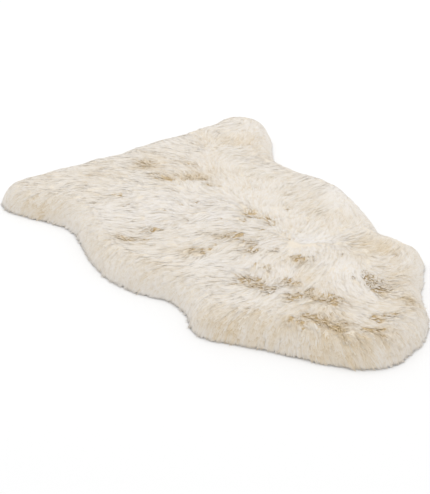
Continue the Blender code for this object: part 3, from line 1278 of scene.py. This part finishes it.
        tone += rng.normal(0.0, self.tone_spread, count) - self.open_tone * opened
        clumps = mottled(relief.heights.shape, self.ochre_size / relief.step, Noise.CLUMPS)
        clumped = self.clumping * relief.at(eased(clumps, *self.clump_limits), roots)
        clumped += (1 - self.clumping) * rng.random(count)
        # the strands picked here take the deep ochre end: the roots' colour, made dark partly as painted
        # shade for the depths of the open partings
        ochre = clumped < self.ochre_share * eased(opened, *self.ochre_open)
        tone = np.where(ochre, rng.uniform(*self.ochre_tone, count), tone)
        layer += np.where(ochre, *self.tuft_shares) * opened * self.tuft_rise
        # painted shade: the same field that raises the wisps darkens the strands in their valleys and pales
        # them on their ridges
        tone += self.wisp_valley_shade * relief.at(self.combing.wisps, middle)
        return {"path": path, "layer": layer, "tone": tone, "open": opened, "length": lengths}

    def _split(self, wisps: dict[str, Array]) -> dict[str, Array]:
        """Divide the wisps into strands, which start apart and gather towards the tip.

        Args:
            wisps: What was worked out for the wisps.

        Returns:
            The strands' centre lines, sides, normals, widths and tones.
        """
        relief, rng = self.relief, self.rng
        number = np.repeat(np.arange(len(wisps["path"])), self.strands_to_a_wisp)
        path, layer, tone, opened, length = (value[number] for value in wisps.values())
        count = len(number)
        marks = np.array([0.0, *self.rings, 1.0])
        spot = marks * rng.uniform(*self.reach, count)[:, None] * self.steps
        low = np.minimum(spot.astype(int), self.steps - 1)
        part = (spot - low)[..., None]
        rows = np.arange(count)[:, None]
        near, far = path[rows, low], path[rows, low + 1]
        flat = near * (1 - part) + far * part
        ahead = unit(far - near)
        slope = relief.at(relief.slope, flat)
        climb = (slope * ahead).sum(-1, keepdims=True)
        along = unit(np.concatenate([ahead, climb], -1))
        normal = unit(np.concatenate([-slope, np.ones_like(climb)], -1))
        side = unit(np.cross(normal, along))
        across = rng.uniform(-1.0, 1.0, count)
        across = np.sign(across) * np.abs(across) ** self.evenness
        over = np.sqrt(1 - self.arch * across**2) * rng.uniform(*self.stacking, count)
        inner = eased(relief.at(relief.rim, path[:, -1]), 0.0, self.rim_calm)
        tips = self.rim_spread + (self.tip_gather - self.rim_spread) * inner
        late = marks**self.tip_power
        gather = 1.0 - (1.0 - tips)[:, None] * late
        size = np.clip(length / self.length, *self.sizes)
        sideways = across[:, None] * gather * self.wisp_half_width * faded(self.narrowest, size)[:, None]
        sideways += rng.normal(0.0, self.waviness, (count, len(marks))) * marks
        risen = marks / self.surfaced
        sunk = self.root_depth * np.clip(1 - risen, 0.0, 1.0) ** self.root_power
        lift = over[:, None] * self.wisp_crown * np.sin(math.pi * np.clip(marks, *self.crown_limits))
        lift = lift + layer[:, None] * np.clip(risen, 0.0, 1.0) - sunk
        lift += opened[:, None] * self.open_rise * late
        centre = np.concatenate([flat, relief.at(relief.heights, flat)[..., None]], -1)
        centre = centre + side * sideways[..., None] + normal * lift[..., None]
        centre[..., 2] = np.maximum(centre[..., 2], self.lowest)
        tone = tone + rng.normal(0.0, self.strand_tone_spread, count)
        tone -= rng.uniform(0.0, self.open_tone_spread, count) * opened
        width = self.strand_width * rng.uniform(*self.strand_widths, count) * faded(self.thinnest, size)
        return {
            "centre": centre,
            "side": side,
            "normal": normal,
            "shade": unit(normal + side * (self.roundness * across)[:, None, None]),
            "width": width * (1 + self.rim_breadth * (1 - inner)),
            "tone": np.clip(tone, self.map_edge, 1 - self.map_edge - self.strip),
        }

    def _weave(self, name: str, strands: dict[str, Array]) -> Piece:
        """Join strands into one mesh of closed three-sided spindles.

        Args:
            name: The piece's name.
            strands: Their centre lines, sides, normals, widths and tones.

        Returns:
            The piece.
        """
        points = self._points(strands)
        count, each = points.shape[:2]
        faces, maps, facing = self._pattern()
        sizes = np.array([len(face) for face in faces])
        corner, spot = np.concatenate(faces), np.concatenate(maps)
        loops = np.arange(count)[:, None] * each + corner
        starts = np.concatenate([[0], np.cumsum(np.tile(sizes, count))[:-1]])
        across = strands["tone"][:, None] + spot[:, 0] * self.strip
        up_map = np.broadcast_to(spot[:, 1], across.shape)
        mesh = bpy.data.meshes.new(name)
        mesh.vertices.add(count * each)
        mesh.vertices.foreach_set("co", points.astype(np.float32).ravel())
        mesh.loops.add(loops.size)
        mesh.loops.foreach_set("vertex_index", loops.astype(np.int32).ravel())
        mesh.polygons.add(len(starts))
        mesh.polygons.foreach_set("loop_start", starts.astype(np.int32))
        layer = mesh.uv_layers.new(name="OFBake")
        layer.uv.foreach_set("vector", np.stack([across, up_map], -1).astype(np.float32).ravel())
        layer.active_render = True
        mesh.update(calc_edges=True)
        mesh.polygons.foreach_set("use_smooth", np.ones(len(starts), bool))
        mesh.normals_split_custom_set(self._normals(strands, corner, np.repeat(facing, sizes)).tolist())
        return placed(name, mesh)

    def _points(self, strands: dict[str, Array]) -> Array:
        """Place each strand's root, its tip and the three corners of each ring between them.

        Args:
            strands: Their centre lines, sides, normals and widths.

        Returns:
            The places.
        """
        centre, side, normal = strands["centre"], strands["side"], strands["normal"]
        taper = np.array(self.taper)[None, :, None, None]
        half = (strands["width"] / 2)[:, None, None, None] * taper
        hub = centre[:, 1:-1, None, :]
        left, up = side[:, 1:-1, None, :], normal[:, 1:-1, None, :]
        corners = [hub + left * half, hub + up * (self.strand_thickness * taper), hub - left * half]
        around = np.concatenate(corners, 2).reshape(len(centre), -1, 3)
        points = np.concatenate([centre[:, [0, -1]], around], 1)
        points[..., 2] = np.maximum(points[..., 2], self.lowest)
        return points

    def _normals(self, strands: dict[str, Array], corner: Array, facing: Array) -> Array:
        """Work out the normals that shade each strand as if it were rounder.

        Args:
            strands: Their sides and the ways that they face.
            corner: Which of a strand's points lies at each corner of its faces.
            facing: Whether the face at that corner looks up, as 1, or down, as -1.

        Returns:
            A normal for each corner.
        """
        shade, side = strands["shade"], strands["side"]
        hub = shade[:, 1:-1, None, :]
        lean = side[:, 1:-1, None, :] * np.array([1.0, 0.0, -1.0])[:, None]
        above, below = (
            np.concatenate([sign * shade[:, [0, -1]], unit(rounded).reshape(len(shade), -1, 3)], 1)[:, corner]
            for sign, rounded in ((1.0, hub + self.roundness * lean), (-1.0, lean - self.belly * hub))
        )
        return np.where(facing[:, None] > 0.0, above, below).reshape(-1, 3)

    def _pattern(self) -> tuple[list[list[int]], list[list[Span]], Array]:
        """Lay out one strand's faces and its strip of the map.

        Returns:
            The corners of each face, their places on the strip, and whether it faces up or down.
        """
        root, tip, crown = 0, 1, 1
        foot, head = self.map_ends
        rings = len(self.rings)
        faces: list[list[int]] = []
        maps: list[list[Span]] = []
        for corner in range(3):
            after = (corner + 1) % 3
            # painted shade: the edge corners read the map lower, towards the darker root colour; only the
            # crown keeps its own place
            drops = [0.0 if end == crown else self.under for end in (corner, after)]
            rise = [[mark - drop for drop in drops] for mark in self.rings]
            faces.append([root, 2 + after, 2 + corner])
            maps.append([(0.5, foot), (1.0, rise[0][1]), (0.0, rise[0][0])])
            for ring in range(rings - 1):
                near, far = 2 + ring * 3, 2 + (ring + 1) * 3
                faces.append([near + corner, near + after, far + after, far + corner])
                low, high = rise[ring], rise[ring + 1]
                maps.append([(0.0, low[0]), (1.0, low[1]), (1.0, high[1]), (0.0, high[0])])
            last = 2 + (rings - 1) * 3
            faces.append([last + corner, last + after, tip])
            maps.append([(0.0, rise[-1][0]), (1.0, rise[-1][1]), (0.5, head)])
        return faces, maps, np.repeat([1.0, 1.0, -1.0], rings + 1)


@dataclass
class Studio:
    """A plain pale floor, soft light from all round and above, and the photograph's camera."""

    finish: FloorFinish = FloorFinish()
    floor_side: float = 14.0
    sky: float = 0.94
    lamp_power: float = 76.0
    lamp_size: float = 3.6
    lamp_place: Place = (1.0, 1.5, 4.7)
    aim: Place = (-0.0509, 0.0309, -0.0022)
    distance: float = 2.898
    azimuth: float = -31.7
    elevation: float = 27.5
    lens: float = 107.8
    farthest: float = 50.0

    def build(self) -> None:
        """Set the stage round the rug."""
        self._lay_floor()
        self._light()
        self._aim_camera()

    def _lay_floor(self) -> None:
        """Lay a wide plain floor under the rug."""
        deselect()
        bpy.ops.mesh.primitive_plane_add(size=self.floor_side)
        floor = bpy.context.object
        floor.name = "studio_floor"
        floor.data.materials.append(self.finish.material())

    def _light(self) -> None:
        """Light the rug from all round, and a little more from above and behind."""
        scene = bpy.context.scene
        scene.view_settings.view_transform = "Standard"
        world = bpy.data.worlds.new("studio")
        world.use_nodes = True
        background = world.node_tree.nodes["Background"]
        background.inputs["Color"].default_value = (1.0, 1.0, 1.0, 1.0)
        background.inputs["Strength"].default_value = self.sky
        scene.world = world
        deselect()
        bpy.ops.object.light_add(type="AREA", location=self.lamp_place)
        lamp = bpy.context.object
        lamp.name = "overhead_lamp"
        lamp.data.energy = self.lamp_power
        lamp.data.size = self.lamp_size
        lamp.rotation_euler = (-Vector(self.lamp_place)).to_track_quat("-Z", "Y").to_euler()

    def _aim_camera(self) -> None:
        """Put the camera where the photograph was taken from."""
        turn, tilt = math.radians(self.azimuth), math.radians(self.elevation)
        level = math.cos(tilt)
        back = Vector((math.sin(turn) * level, -math.cos(turn) * level, math.sin(tilt)))
        place = Vector(self.aim) + back * self.distance
        bpy.ops.object.camera_add(location=place, rotation=(-back).to_track_quat("-Z", "Y").to_euler())
        camera = bpy.context.object
        camera.data.lens = self.lens
        camera.data.clip_end = self.farthest
        bpy.context.scene.camera = camera


def main() -> None:
    """Build the rug and its studio."""
    logging.basicConfig(level=logging.INFO, format="%(message)s")
    Studio().build()
    relief = Relief()
    combing = Combing(relief)
    relief.raise_wisps(combing.wisps)
    skin = Hide()
    hide = skin.build()
    matted = MattedWool(relief).build()
    wool = LongWool(relief, combing).build()


if __name__ == "__main__":
    main()
